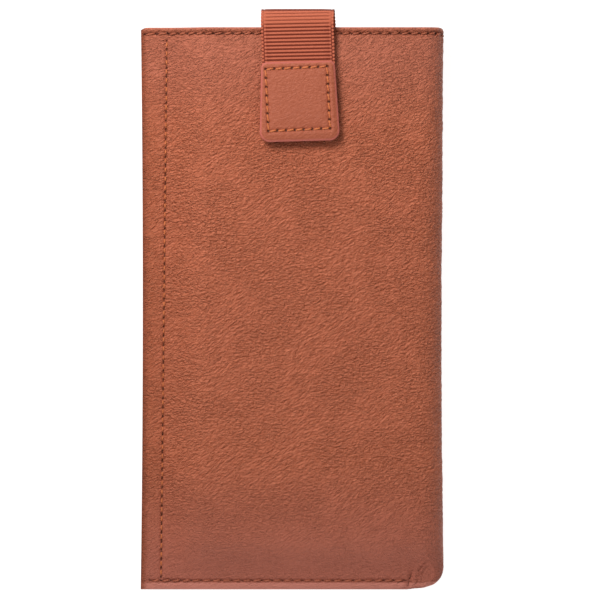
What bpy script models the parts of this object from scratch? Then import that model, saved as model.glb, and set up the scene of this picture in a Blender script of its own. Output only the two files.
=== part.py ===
"""Leather phone sleeve with a grosgrain pull-up ribbon and a sewn leather pull tab.

Metres. The sleeve lies on its back: +X across its width, +Y along its length towards the mouth,
+Z out of the front panel. The origin is the middle of the flat back face.

One hide wraps from the front round a fold on the right to the back, and is sewn shut along the
left side and the foot. The ribbon is sewn to the back lining, runs down the back, under the
phone and up the front, and folds over the mouth to the tab: pulling it lifts the phone.
"""
import math

import bpy
from mathutils import Matrix, Vector

# Driving dimensions
BODY_WIDTH = 0.090
BODY_LENGTH = 0.1665
BODY_THICKNESS = 0.0140
WAIST_DRAW = 0.0006            # how far each long edge is drawn in at mid length
CORNER_RADIUS = 0.0074         # the folded corner at the foot
RIBBON_WIDTH = 0.0215
RIBBON_X = 0.0014              # the ribbon runs a little right of the middle
TAB_WIDTH_TOP = 0.0219
TAB_WIDTH_FOOT = 0.0236
TAB_HEIGHT = 0.0236
TAB_CENTRE = (0.0019, 0.0612)
TAB_TURN = math.radians(1.5)

# Sheet thicknesses and the gaps between layers
LEATHER = 0.0011
BOARD = 0.0004
LINING = 0.00035
FACING = 0.00045
RIBBON = 0.00045
TAB_LEATHER = 0.0009
LAYER_GAP = 0.00015
NEEDLE_THREAD = 0.0004
BOBBIN_THREAD = 0.0003

# Shape of the sewn edges and of the mouth
SEAM_HALF = 0.00185            # half the thickness of the sewn margins
SIDE_RISE = 0.013              # from the side seam to full thickness
FOOT_RISE = 0.012
MOUTH_DROP = 0.0006            # each panel closes in by this much at the mouth
MOUTH_RUN = 0.015
SIDE_SEAM_TOP_X = -0.0372
SIDE_SEAM_FOOT_X = -0.0390
FOOT_SEAM_MARGIN = 0.0026
MOUTH_SEAM_MARGIN = 0.00185
FACING_HEIGHT = 0.009
SIDE_TRIM = 0.0008             # the lining stops this far inside the hide's cut side edges

# Worked out from the above
HALF_WIDTH = BODY_WIDTH / 2
MOUTH_Y = BODY_LENGTH / 2
FOOT_Y = -BODY_LENGTH / 2
BODY_HALF = BODY_THICKNESS / 2
MID_Z = BODY_THICKNESS / 2
FOOT_SEAM_Y = FOOT_Y + FOOT_SEAM_MARGIN
MOUTH_SEAM_Y = MOUTH_Y - MOUTH_SEAM_MARGIN
FACING_INSET = LEATHER + LAYER_GAP
BOARD_INSET = LEATHER + LAYER_GAP
BOARD_SPACE = BOARD + LAYER_GAP
RIBBON_INSET = BOARD_INSET + BOARD_SPACE + LINING + LAYER_GAP + RIBBON / 2

# The wrap runs from 0 at the front's left edge to 1 at the back's, and folds in between
FOLD_FROM = 0.42
SEAM_STOP = 0.08               # the part of a panel's width that lies outside the side seam
FRONT_STOPS = (0.0, 0.08, 0.105, 0.13, 0.155, 0.18, 0.21, 0.245, 0.45, 0.70, 1.0)
FOLD_SEGMENTS = 7
CORNER_LIMIT = math.radians(72)
CORNER_SEGMENTS = 5
RISE_ROWS = (-0.0730, -0.0705, -0.0680)
MIDDLE_ROWS = (-0.045, -0.015, 0.015, 0.045, 0.068)
MOUTH_ROWS = (0.0739, 0.0775, 0.0805)
STEP = 0.00002

# Boards, flat and clear of every rise
BOARD_LEFT = -0.0240
BOARD_RIGHT = 0.0370
BOARD_FOOT = -0.0680
BOARD_TOP = 0.0560
BOARD_CORNER = 0.004

# The ribbon's stretches
ANCHOR_END_Y = 0.0695
RUN_FOOT_Y = -0.0690
RUN_TOP_Y = 0.0790
JOIN_GAP = 0.0003
BEND_DEPTH = 0.0013             # how far the bend under the phone reaches below its walls
LOOP_PATH = (                  # y, z: over the mouth, from inside the pocket to the front
    (0.0793, 0.01098), (0.0828, 0.01088), (0.0856, 0.01010), (0.0876, 0.01095), (0.08835, 0.01290),
    (0.0877, 0.01490), (0.0856, 0.01605), (0.0826, 0.01610),
)
LOOP_SKEW = 0.00065            # the leg inside the mouth sits this far to the right
LOOP_SAMPLES = 4

# The pull tab, above the front panel by room for its back stitches
TAB_STANDOFF = 0.0009
TAB_RADIUS_TOP = 0.0017
TAB_RADIUS_FOOT = 0.0030
TAB_STITCH_INSET = 0.0023
TAB_BACK_Z = BODY_THICKNESS + TAB_STANDOFF
TAIL_Z = TAB_BACK_Z + TAB_LEATHER + LAYER_GAP + RIBBON / 2
TAB_FRONT_Z = TAIL_Z + RIBBON / 2 + LAYER_GAP
TAIL_END_Y = TAB_CENTRE[1] - 0.0085
TAIL_FLAT_Y = TAB_CENTRE[1] + TAB_HEIGHT / 2 + 0.0008

# Joint axes
CRADLE_AXIS = (RIBBON_X, -0.0750, MID_Z)
STRAP_AXIS = (RIBBON_X, RUN_FOOT_Y, BODY_THICKNESS - RIBBON_INSET)
FLIP_AXIS = (RIBBON_X, 0.08835, 0.01377)

# Ends of the seams
MOUTH_SEAM_TRIM = 0.001        # the mouth row starts this far in from the left edge
SIDE_SEAM_TOP_Y = 0.0793
SIDE_SEAM_FOOT_Y = -0.0796
FOOT_SEAM_LEFT_X = -0.0434
FOOT_SEAM_RIGHT_X = 0.0345
ANCHOR_STITCH = (0.015, 0.007) # width and height of the box stitch that holds the ribbon
ANCHOR_STITCH_Y = 0.0640
ANCHOR_STITCH_RADIUS = 0.0012

TERRACOTTA = (0.40, 0.115, 0.062, 1.0)
TERRACOTTA_INSIDE = (0.36, 0.13, 0.08, 1.0)
RIBBON_RED = (0.52, 0.12, 0.055, 1.0)
THREAD_ORANGE = (0.58, 0.17, 0.05, 1.0)
LINING_BROWN = (0.30, 0.11, 0.07, 1.0)
BOARD_GREY = (0.35, 0.31, 0.27, 1.0)


def clear_scene():
    for obj in list(bpy.data.objects):
        bpy.data.objects.remove(obj, do_unlink=True)


def make_material(name, colour, roughness):
    material = bpy.data.materials.new(name)
    material.use_nodes = True
    shader = material.node_tree.nodes["Principled BSDF"]
    shader.inputs["Base Color"].default_value = colour
    shader.inputs["Roughness"].default_value = roughness
    shader.inputs["Metallic"].default_value = 0.0
    return material


def smooth_step(value):
    value = min(max(value, 0.0), 1.0)
    return value * value * (3.0 - 2.0 * value)


# ---- the sleeve's outside surface ----

def waist(y):
    return WAIST_DRAW * (1.0 - (y / MOUTH_Y) ** 2)


def left_edge(y):
    return -HALF_WIDTH + waist(y)


def corner_cosine(y):
    """1 along the straight fold, and the cosine of the arc's angle round the corner."""
    drop = max(FOOT_Y + CORNER_RADIUS * math.sin(CORNER_LIMIT) - y, 0.0)
    return math.sqrt(1.0 - (drop / CORNER_RADIUS) ** 2)


def right_edge(y):
    """The fold's line, rounding the corner at the foot on an arc that stops short of level."""
    return HALF_WIDTH - waist(y) - CORNER_RADIUS * (1.0 - corner_cosine(y))


def fold_centre(y):
    """Where the fold starts: its own half thickness inside its line, measured square to it."""
    right = right_edge(y)
    return right - half_thickness(right, y) / corner_cosine(y)


def side_seam_x(y):
    part = (MOUTH_Y - y) / BODY_LENGTH
    return SIDE_SEAM_TOP_X + (SIDE_SEAM_FOOT_X - SIDE_SEAM_TOP_X) * part


def fullness(x, y):
    """0 along the sewn edges and 1 where the sleeve has its full thickness."""
    side = smooth_step((x - side_seam_x(y)) / SIDE_RISE)
    foot = smooth_step((y - FOOT_SEAM_Y) / FOOT_RISE)
    mouth = smooth_step((y - MOUTH_Y + MOUTH_RUN) / MOUTH_RUN)
    return side * foot * (1.0 - mouth * MOUTH_DROP / (BODY_HALF - SEAM_HALF))


def half_thickness(x, y):
    return SEAM_HALF + (BODY_HALF - SEAM_HALF) * fullness(x, y)


def wrap_point(wrap, y):
    """A point of the outside, wrap running from the front's left edge round to the back's."""
    right = right_edge(y)
    centre = fold_centre(y)
    if FOLD_FROM <= wrap <= 1.0 - FOLD_FROM:
        angle = math.pi * (0.5 - (wrap - FOLD_FROM) / (1.0 - 2.0 * FOLD_FROM))
        x = centre + (right - centre) * math.cos(angle)
        return Vector((x, y, MID_Z + half_thickness(right, y) * math.sin(angle)))
    part = min(wrap, 1.0 - wrap) / FOLD_FROM
    side = 1.0 if wrap < FOLD_FROM else -1.0
    seam = side_seam_x(y)
    if part < SEAM_STOP:
        x = left_edge(y) + (seam - left_edge(y)) * part / SEAM_STOP
    else:
        x = seam + (centre - seam) * (part - SEAM_STOP) / (1.0 - SEAM_STOP)
    return Vector((x, y, MID_Z + side * half_thickness(x, y)))


def skin_point(wrap, y, inset):
    """The point of the outside at (wrap, y), moved inwards by inset along the normal."""
    across = wrap_point(min(wrap + STEP, 1.0), y) - wrap_point(max(wrap - STEP, 0.0), y)
    along = wrap_point(wrap, min(y + STEP, MOUTH_Y)) - wrap_point(wrap, max(y - STEP, FOOT_Y))
    normal = across.cross(along).normalized()
    return wrap_point(wrap, y) - normal * inset


def wrap_at(x, y, back=False):
    """The wrap value of a panel point at x, right of the side seam."""
    seam = side_seam_x(y)
    wrap = FOLD_FROM * (SEAM_STOP + (1.0 - SEAM_STOP) * (x - seam) / (fold_centre(y) - seam))
    return 1.0 - wrap if back else wrap


def wrap_stops():
    front = [FOLD_FROM * stop for stop in FRONT_STOPS]
    fold_width = 1.0 - 2.0 * FOLD_FROM
    fold = [FOLD_FROM + fold_width * i / FOLD_SEGMENTS for i in range(1, FOLD_SEGMENTS)]
    return front + fold + [1.0 - stop for stop in reversed(front)]


def corner_rows():
    reach = CORNER_RADIUS * math.sin(CORNER_LIMIT)
    rows = []
    for i in range(CORNER_SEGMENTS + 1):
        angle = CORNER_LIMIT * (1.0 - i / CORNER_SEGMENTS)
        rows.append(FOOT_Y + reach - CORNER_RADIUS * math.sin(angle))
    return rows


# ---- builders ----

def link(obj, collection, material):
    obj.data.materials.append(material)
    collection.objects.link(obj)
    return obj


def sheet_object(name, rows, collection, material, thickness, offset):
    """A grid of points as one quad sheet, thickened by Solidify."""
    columns = len(rows[0])
    points = [point for row in rows for point in row]
    faces = []
    for r in range(len(rows) - 1):
        for c in range(columns - 1):
            first = r * columns + c
            faces.append((first, first + 1, first + columns + 1, first + columns))
    mesh = bpy.data.meshes.new(name)
    mesh.from_pydata(points, [], faces)
    mesh.shade_smooth()
    obj = link(bpy.data.objects.new(name, mesh), collection, material)
    solid = obj.modifiers.new("thickness", "SOLIDIFY")
    solid.thickness = thickness
    solid.offset = offset
    return obj


def wrapped_sheet(name, y_rows, inset_at, collection, material, thickness, trim=0.0):
    """A sheet that follows the whole wrap at an inset below the outside."""
    rows = []
    for y in y_rows:
        first = trim / BODY_WIDTH * FOLD_FROM
        row = []
        for stop in wrap_stops():
            wrap = min(max(stop, first), 1.0 - first)
            row.append(skin_point(wrap, y, inset_at(wrap, y)))
        rows.append(row)
    return sheet_object(name, rows, collection, material, thickness, -1.0)


def strip_object(name, path, collection, material):
    """The ribbon along a path of (x, y, z) points, its width across X."""
    rows = []
    for x, y, z in path:
        rows.append([(x - RIBBON_WIDTH / 2, y, z), (x + RIBBON_WIDTH / 2, y, z)])
    return sheet_object(name, rows, collection, material, RIBBON, 0.0)


def thread_object(name, points, diameter, collection, material, closed=False):
    curve = bpy.data.curves.new(name, "CURVE")
    curve.dimensions = "3D"
    curve.bevel_depth = diameter / 2
    curve.bevel_resolution = 2
    curve.use_fill_caps = not closed
    spline = curve.splines.new("POLY")
    spline.points.add(len(points) - 1)
    for target, point in zip(spline.points, points):
        target.co = (point[0], point[1], point[2], 1.0)
    spline.use_cyclic_u = closed
    return link(bpy.data.objects.new(name, curve), collection, material)


def plate_object(name, outline, thickness, collection, material):
    """A flat plate of an (x, y) outline, its middle at the object's origin."""
    curve = bpy.data.curves.new(name, "CURVE")
    curve.dimensions = "2D"
    curve.fill_mode = "BOTH"
    curve.extrude = thickness / 2
    spline = curve.splines.new("POLY")
    spline.points.add(len(outline) - 1)
    for target, (x, y) in zip(spline.points, outline):
        target.co = (x, y, 0.0, 1.0)
    spline.use_cyclic_u = True
    return link(bpy.data.objects.new(name, curve), collection, material)


def rounded_outline(width_top, width_foot, height, radius_top, radius_foot, segments=5):
    """A rounded four-sided outline, anticlockwise from the corner at the lower right."""
    corners = (
        (width_foot / 2, -height / 2, radius_foot, -90),
        (width_top / 2, height / 2, radius_top, 0),
        (-width_top / 2, height / 2, radius_top, 90),
        (-width_foot / 2, -height / 2, radius_foot, 180),
    )
    outline = []
    for x, y, radius, start in corners:
        centre_x = x - math.copysign(radius, x)
        centre_y = y - math.copysign(radius, y)
        for i in range(segments + 1):
            angle = math.radians(start + 90 * i / segments)
            outline.append((centre_x + radius * math.cos(angle), centre_y + radius * math.sin(angle)))
    return outline


def spline_samples(points, samples):
    """Points along a Catmull-Rom curve through the given ones."""
    padded = [points[0]] + list(points) + [points[-1]]
    curve = []
    for i in range(1, len(padded) - 2):
        before, start, end, after = (Vector(padded[j]) for j in range(i - 1, i + 3))
        for k in range(samples):
            t = k / samples
            curve.append(0.5 * (2 * start + (end - before) * t
                                + (2 * before - 5 * start + 4 * end - after) * t ** 2
                                + (3 * start - before - 3 * end + after) * t ** 3))
    curve.append(Vector(points[-1]))
    return curve


def joint_empty(name, location, parent, collection):
    empty = bpy.data.objects.new(name, None)
    empty.empty_display_size = 0.01
    collection.objects.link(empty)
    empty.parent = parent
    parent_location = Vector(parent["world"]) if parent else Vector((0.0, 0.0, 0.0))
    empty.location = Vector(location) - parent_location
    empty["world"] = location
    return empty


def hang_on(obj, empty):
    """Parent a piece to its joint's empty, keeping its place in the world."""
    obj.parent = empty
    obj.matrix_parent_inverse = Matrix.Translation(-Vector(empty["world"]))
    return obj


# ---- the pouch ----

def make_outer_leather(parts, leather):
    rows = corner_rows() + list(RISE_ROWS + MIDDLE_ROWS + MOUTH_ROWS) + [MOUTH_Y]
    return wrapped_sheet("outer_leather", rows, lambda wrap, y: 0.0, parts, leather, LEATHER)


def lining_inset(wrap, y):
    """Against the leather at the seams, and clear of the boards where the sleeve is full."""
    x = wrap_point(wrap, y).x
    return BOARD_INSET + BOARD_SPACE * smooth_step(2.0 * fullness(x, y) - 0.5)


def make_lining(parts, material):
    rows = corner_rows()[2:] + list(RISE_ROWS + MIDDLE_ROWS)
    rows.append(MOUTH_Y - FACING_HEIGHT - JOIN_GAP)
    return wrapped_sheet("lining", rows, lining_inset, parts, material, LINING, SIDE_TRIM)


def make_mouth_facing(parts, leather):
    rows = [MOUTH_Y - FACING_HEIGHT] + list(MOUTH_ROWS[1:]) + [MOUTH_Y]
    return wrapped_sheet("mouth_facing", rows, lambda wrap, y: FACING_INSET, parts, leather, FACING)


def make_boards(parts, material):
    width = BOARD_RIGHT - BOARD_LEFT
    height = BOARD_TOP - BOARD_FOOT
    outline = rounded_outline(width, width, height, BOARD_CORNER, BOARD_CORNER, 3)
    for name, side in (("front_stiffener", 1.0), ("back_stiffener", -1.0)):
        board = plate_object(name, outline, BOARD, parts, material)
        z = MID_Z + side * (BODY_HALF - BOARD_INSET - BOARD / 2)
        board.location = ((BOARD_LEFT + BOARD_RIGHT) / 2, (BOARD_FOOT + BOARD_TOP) / 2, z)


def make_mouth_seam(parts, thread):
    outside = -(LAYER_GAP + NEEDLE_THREAD / 2)
    inside = FACING_INSET + FACING + LAYER_GAP + BOBBIN_THREAD / 2
    first = FOLD_FROM * MOUTH_SEAM_TRIM / BODY_WIDTH
    stops = [min(max(stop, first), 1.0 - first) for stop in wrap_stops()]
    needle = [skin_point(stop, MOUTH_SEAM_Y, outside) for stop in stops]
    opening = FOLD_FROM * FRONT_STOPS[4]
    stops = [stop for stop in wrap_stops() if opening <= stop <= 1.0 - opening]
    bobbin = [skin_point(stop, MOUTH_SEAM_Y, inside) for stop in stops]
    thread_object("mouth_needle_thread", needle, NEEDLE_THREAD, parts, thread)
    thread_object("mouth_bobbin_thread", bobbin, BOBBIN_THREAD, parts, thread)


def make_side_seam(parts, thread):
    for name, side in (("side_needle_thread", 1.0), ("side_bobbin_thread", -1.0)):
        z = MID_Z + side * (SEAM_HALF + LAYER_GAP + NEEDLE_THREAD / 2)
        ends = (SIDE_SEAM_TOP_Y, SIDE_SEAM_FOOT_Y)
        points = [(side_seam_x(y), y, z) for y in ends]
        thread_object(name, points, NEEDLE_THREAD, parts, thread)


def make_foot_seam(parts, thread):
    for name, side in (("foot_needle_thread", 1.0), ("foot_bobbin_thread", -1.0)):
        z = MID_Z + side * (SEAM_HALF + LAYER_GAP + NEEDLE_THREAD / 2)
        points = [(x, FOOT_SEAM_Y, z) for x in (FOOT_SEAM_LEFT_X, FOOT_SEAM_RIGHT_X)]
        thread_object(name, points, NEEDLE_THREAD, parts, thread)


# ---- the ribbon ----

def inner_ribbon_point(y, back):
    """The ribbon's middle against the lining of one panel."""
    wrap = wrap_at(RIBBON_X, y, back)
    inset = lining_inset(wrap, y) + LINING + LAYER_GAP + RIBBON / 2
    point = skin_point(wrap, y, inset)
    return Vector((RIBBON_X, point.y, point.z))


def make_back_run(parts, material):
    rows = (RUN_FOOT_Y, -0.03, 0.03, ANCHOR_END_Y)
    path = [inner_ribbon_point(y, back=True) for y in rows]
    return strip_object("pull_ribbon_back_run", path, parts, material)


def make_anchor_stitch(parts, thread):
    """The box stitch through the ribbon's end and the back lining."""
    outline = rounded_outline(*(ANCHOR_STITCH[0],) * 2, ANCHOR_STITCH[1],
                              ANCHOR_STITCH_RADIUS, ANCHOR_STITCH_RADIUS, 2)
    above = RIBBON_INSET + RIBBON / 2 + LAYER_GAP + BOBBIN_THREAD / 2
    behind = LEATHER + (BOARD_SPACE + LAYER_GAP) / 2
    for name, depth in (("anchor_needle_thread", above), ("anchor_bobbin_thread", behind)):
        points = [(RIBBON_X + x, ANCHOR_STITCH_Y + y, depth) for x, y in outline]
        thread_object(name, points, BOBBIN_THREAD, parts, thread, closed=True)


def make_cradle(parts, material):
    """The bend under the phone: down the back, round, and up the front."""
    walls = [RUN_FOOT_Y - JOIN_GAP, -0.0709, -0.0725, -0.0740, -0.0754, -0.0766]
    back = [inner_ribbon_point(y, back=True) for y in walls]
    front = [inner_ribbon_point(y, back=False) for y in walls]
    foot = back[-1]
    radius = MID_Z - foot.z
    bend = []
    for degrees in (-60, -30, 0, 30, 60):
        angle = math.radians(degrees)
        drop = BEND_DEPTH * math.cos(angle)
        bend.append(Vector((RIBBON_X, foot.y - drop, MID_Z + radius * math.sin(angle))))
    return strip_object("pull_ribbon_cradle", back + bend + front[::-1], parts, material)


def make_front_run(parts, material):
    rows = (RUN_FOOT_Y, -0.03, 0.03, 0.068, 0.0715, 0.0755, RUN_TOP_Y)
    path = [inner_ribbon_point(y, back=False) for y in rows]
    return strip_object("pull_ribbon_front_run", path, parts, material)


def make_loop(parts, material):
    """Over the mouth, the leg inside it standing a little to the right."""
    curve = spline_samples(LOOP_PATH, LOOP_SAMPLES)
    path = []
    for i, point in enumerate(curve):
        part = min(2.0 * i / (len(curve) - 1), 1.0)
        path.append((RIBBON_X + LOOP_SKEW * (1.0 - smooth_step(part)), point[0], point[1]))
    return strip_object("pull_ribbon_loop", path, parts, material)


def make_tail(parts, material):
    """From the loop down into the tab, turning with it."""
    top_y, top_z = LOOP_PATH[-1]
    path = [(TAB_CENTRE[0], TAIL_END_Y, TAIL_Z), (TAB_CENTRE[0], TAIL_FLAT_Y, TAIL_Z)]
    path.append((RIBBON_X, top_y - JOIN_GAP, top_z))
    return strip_object("pull_ribbon_tail", path[::-1], parts, material)


# ---- the tab ----

def place_on_tab(obj, z):
    obj.location = (TAB_CENTRE[0], TAB_CENTRE[1], z)
    obj.rotation_euler = (0.0, 0.0, TAB_TURN)
    return obj


def make_tab(parts, leather, thread):
    outline = rounded_outline(TAB_WIDTH_TOP, TAB_WIDTH_FOOT, TAB_HEIGHT, TAB_RADIUS_TOP, TAB_RADIUS_FOOT)
    inset = 2.0 * TAB_STITCH_INSET
    stitches = rounded_outline(TAB_WIDTH_TOP - inset, TAB_WIDTH_FOOT - inset, TAB_HEIGHT - inset,
                               TAB_RADIUS_TOP / 2, TAB_RADIUS_FOOT / 2, 2)
    loop = [(x, y, 0.0) for x, y in stitches]
    back = plate_object("tab_back_leather", outline, TAB_LEATHER, parts, leather)
    front = plate_object("tab_front_leather", outline, TAB_LEATHER, parts, leather)
    needle = thread_object("tab_needle_thread", loop, NEEDLE_THREAD, parts, thread, closed=True)
    bobbin = thread_object("tab_bobbin_thread", loop, BOBBIN_THREAD, parts, thread, closed=True)
    face = TAB_FRONT_Z + TAB_LEATHER
    return (
        place_on_tab(back, TAB_BACK_Z + TAB_LEATHER / 2),
        place_on_tab(front, TAB_FRONT_Z + TAB_LEATHER / 2),
        place_on_tab(needle, face + LAYER_GAP + NEEDLE_THREAD / 2),
        place_on_tab(bobbin, TAB_BACK_Z - TAB_STANDOFF / 2),
    )


def main():
    clear_scene()
    parts = bpy.data.collections.new("leather_phone_sleeve")
    bpy.context.scene.collection.children.link(parts)
    leather = make_material("terracotta_leather", TERRACOTTA, 0.55)
    inner_leather = make_material("facing_leather", TERRACOTTA_INSIDE, 0.6)
    lining = make_material("lining_microfibre", LINING_BROWN, 0.9)
    board = make_material("stiffener_board", BOARD_GREY, 0.85)
    ribbon = make_material("grosgrain_ribbon", RIBBON_RED, 0.6)
    thread = make_material("orange_thread", THREAD_ORANGE, 0.5)
    tab_leather = make_material("tab_leather", TERRACOTTA, 0.6)

    make_outer_leather(parts, leather)
    make_lining(parts, lining)
    make_mouth_facing(parts, inner_leather)
    make_boards(parts, board)
    make_mouth_seam(parts, thread)
    make_side_seam(parts, thread)
    make_foot_seam(parts, thread)
    make_back_run(parts, ribbon)
    make_anchor_stitch(parts, thread)

    cradle_axis = joint_empty("cradle_axis", CRADLE_AXIS, None, parts)
    strap_axis = joint_empty("strap_axis", STRAP_AXIS, cradle_axis, parts)
    flip_axis = joint_empty("flip_axis", FLIP_AXIS, strap_axis, parts)
    hang_on(make_cradle(parts, ribbon), cradle_axis)
    hang_on(make_front_run(parts, ribbon), strap_axis)
    hang_on(make_loop(parts, ribbon), strap_axis)
    hang_on(make_tail(parts, ribbon), flip_axis)
    for piece in make_tab(parts, tab_leather, thread):
        hang_on(piece, flip_axis)


main()
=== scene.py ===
"""Looks of a leather phone sleeve with a grosgrain pull-up ribbon and a sewn leather pull tab.

The CAD model is loaded as the frame. Every soft piece is built here again on the same surfaces,
with its grain, its seams and its ribs as real relief. Lengths are in metres unless a name ends in
MM or a comment says millimetres. +Y points to the mouth, +Z out of the front panel.
"""
import math

import bpy
import numpy as np
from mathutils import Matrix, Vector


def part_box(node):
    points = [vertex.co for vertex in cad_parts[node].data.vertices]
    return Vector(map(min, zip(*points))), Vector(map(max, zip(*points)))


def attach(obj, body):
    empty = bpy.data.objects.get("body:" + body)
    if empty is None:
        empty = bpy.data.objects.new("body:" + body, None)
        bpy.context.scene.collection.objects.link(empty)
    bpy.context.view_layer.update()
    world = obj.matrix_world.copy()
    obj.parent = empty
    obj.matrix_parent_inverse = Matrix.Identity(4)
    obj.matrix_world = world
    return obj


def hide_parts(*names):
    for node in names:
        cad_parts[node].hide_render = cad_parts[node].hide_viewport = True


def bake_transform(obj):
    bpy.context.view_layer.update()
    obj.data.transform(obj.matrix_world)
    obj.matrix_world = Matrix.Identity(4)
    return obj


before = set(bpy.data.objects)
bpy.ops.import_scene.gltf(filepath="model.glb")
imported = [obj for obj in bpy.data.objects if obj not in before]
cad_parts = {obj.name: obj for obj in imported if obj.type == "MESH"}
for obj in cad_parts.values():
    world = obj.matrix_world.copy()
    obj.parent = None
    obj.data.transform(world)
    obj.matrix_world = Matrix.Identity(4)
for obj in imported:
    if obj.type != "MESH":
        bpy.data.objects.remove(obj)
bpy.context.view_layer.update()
MM = 0.001

# ---- sizes, from the frame where it has them ----

HIDE_LOW, HIDE_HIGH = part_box("outer_leather")
HALF_WIDTH = -HIDE_LOW.x
FOOT_Y = HIDE_LOW.y
MOUTH_Y = -FOOT_Y
BODY_HALF = (HIDE_HIGH.z - HIDE_LOW.z) / 2
MID_Z = HIDE_LOW.z + BODY_HALF

# The hide's shape, as in the CAD
WAIST_DRAW = 0.0006
CORNER_RADIUS = 0.0074
CORNER_LIMIT = math.radians(72)
SEAM_HALF = 0.00185
SIDE_RISE = 0.013
FOOT_RISE = 0.012
MOUTH_DROP = 0.0006
MOUTH_RUN = 0.015
SIDE_SEAM_TOP_X = -0.0372
SIDE_SEAM_FOOT_X = -0.0390
FOOT_SEAM_Y = FOOT_Y + 0.0026
MOUTH_SEAM_Y = MOUTH_Y - 0.00185
FACING_HEIGHT = 0.009
FOLD_FROM = 0.42
SEAM_STOP = 0.08

# Sheets and the gaps between layers
LEATHER = 0.0011
BOARD = 0.0004
LINING = 0.00035
FACING = 0.00045
LAYER_GAP = 0.00015
RIBBON = 0.00045
TAB_LEATHER = 0.0009
SIDE_TRIM = 0.0008
BOARD_INSET = LEATHER + LAYER_GAP
BOARD_SPACE = BOARD + LAYER_GAP
RIBBON_INSET = BOARD_INSET + BOARD_SPACE + LINING + LAYER_GAP + RIBBON / 2

# Painted edges: rounding, and how deep the rim reaches where two edges are sewn together
EDGE_ROUND = 0.0003
SEWN_RIM = 0.00182
RIM_WIDTH = 0.00062

# The mouth's corners dip, and the foot's rounded corner runs out level
MOUTH_DIP = 0.00075
DIP_WIDTH = 0.0020
DIP_REACH = 0.009
CORNER_REACH = 0.004

# The crease that ends the foot seam, and the middle of the gathers round the corner; millimetres
CREASE_X, CREASE_Y = 34.5, -81.1
CREASE_LEAN = 0.3
GATHER_X, GATHER_Y = 42.0, -80.5

# Stitches: pitch of each row, the mouth row's first hole, thread radius and twist pitch
MOUTH_PITCH = 0.0029
MOUTH_FIRST = 0.0009
SIDE_PITCH = 0.00265
FOOT_PITCH = 0.0030
THREAD_RADIUS = 0.00024
TWIST_PITCH = 0.0011

# The hide's mesh is finer within SEAM_ZONE of a stitch line, FINE_CELL on the front
SEAM_ZONE = 0.0008
FINE_CELL = 0.0002

# The ribbon
RIBBON_X = 0.0014
RIBBON_WIDTH = 0.0215
RIB_PITCH = 0.001066
RIB_SLOPE = 0.021
SELVAGE = 0.0015
LOOP_SKEW = 0.00065
RUN_SLACK = 0.0012
SEWN_WIDTH, SEWN_HEIGHT = 0.0182, 0.0183
SEWN_CENTRE = (-0.0003, 0.00075)
SEWN_TURN = math.radians(1.2)
LOOP_TOP_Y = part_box("pull_ribbon_loop")[1].y
LOOP_PATH = (
    (0.0793, 0.01098), (0.0828, 0.01088), (0.0856, 0.01010), (0.0876, 0.01095), (0.08835, 0.01290),
    (0.0877, 0.01490), (0.0856, 0.01605), (0.0826, 0.01610),
)
RUN_FOOT_Y = -0.0690
JOIN_Y = 0.0600
BEND_DEPTH = 0.0013
ANCHOR_STITCH = (0.015, 0.007)
ANCHOR_STITCH_Y = 0.0640

# The pull tab
TAB_WIDTH_TOP = 0.0219
TAB_WIDTH_FOOT = 0.0236
TAB_HEIGHT = 0.0236
TAB_CENTRE = (0.0019, 0.0612)
TAB_TURN = math.radians(1.5)
TAB_RADIUS_TOP = 0.0017
TAB_RADIUS_FOOT = 0.0030
TAB_STITCHES = 7
TAB_BACK_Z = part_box("tab_back_leather")[0].z
TAB_FRONT_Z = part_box("tab_front_leather")[0].z
TAIL_Z = (TAB_BACK_Z + TAB_LEATHER + TAB_FRONT_Z) / 2


# ---- smooth steps, lengths and noise ----

def smooth(value):
    value = np.clip(value, 0.0, 1.0)
    return value * value * (3.0 - 2.0 * value)


def bell(value):
    return np.exp(-value * value)


def run_length(points):
    """The distance along a line of points, from 0 at its first."""
    return np.concatenate([[0.0], np.cumsum(np.linalg.norm(np.diff(points, axis=0), axis=1))])


def noise(u, v, seed, size=256):
    """Smooth noise from -1 to 1 with one value to each unit cell."""
    table = np.random.default_rng(seed).uniform(-1.0, 1.0, (size, size))
    column, row = np.floor(u).astype(int), np.floor(v).astype(int)
    right, up = smooth(u - column), smooth(v - row)
    columns, rows = (column % size, (column + 1) % size), (row % size, (row + 1) % size)
    low, high = (table[at, columns[0]] * (1 - right) + table[at, columns[1]] * right for at in rows)
    return low * (1 - up) + high * up


def creases(u, v, length, width, tilt, seed):
    """Sharp valleys, from -1 at their bottom to 0, mostly along one direction; millimetres."""
    turn = math.radians(tilt)
    along = u * math.cos(turn) + v * math.sin(turn)
    across = v * math.cos(turn) - u * math.sin(turn)
    across = across + 0.5 * width * noise(along / length, across / length, seed + 1)
    return -(1.0 - np.abs(noise(along / length, across / width, seed))) ** 2


# ---- the sleeve's outside surface, as the CAD has it ----

def waist(y):
    return WAIST_DRAW * (1.0 - (y / MOUTH_Y) ** 2)


def left_edge(y):
    return -HALF_WIDTH + waist(y)


def corner_cosine(y):
    drop = np.maximum(FOOT_Y + CORNER_RADIUS * math.sin(CORNER_LIMIT) - y, 0.0)
    return np.sqrt(1.0 - (drop / CORNER_RADIUS) ** 2)


def right_edge(y):
    return HALF_WIDTH - waist(y) - CORNER_RADIUS * (1.0 - corner_cosine(y))


def side_seam_x(y):
    return SIDE_SEAM_TOP_X + (SIDE_SEAM_FOOT_X - SIDE_SEAM_TOP_X) * (MOUTH_Y - y) / (MOUTH_Y - FOOT_Y)


def fullness(x, y):
    side = smooth((x - side_seam_x(y)) / SIDE_RISE)
    foot = smooth((y - FOOT_SEAM_Y) / FOOT_RISE)
    mouth = smooth((y - MOUTH_Y + MOUTH_RUN) / MOUTH_RUN)
    return side * foot * (1.0 - mouth * MOUTH_DROP / (BODY_HALF - SEAM_HALF))


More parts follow.
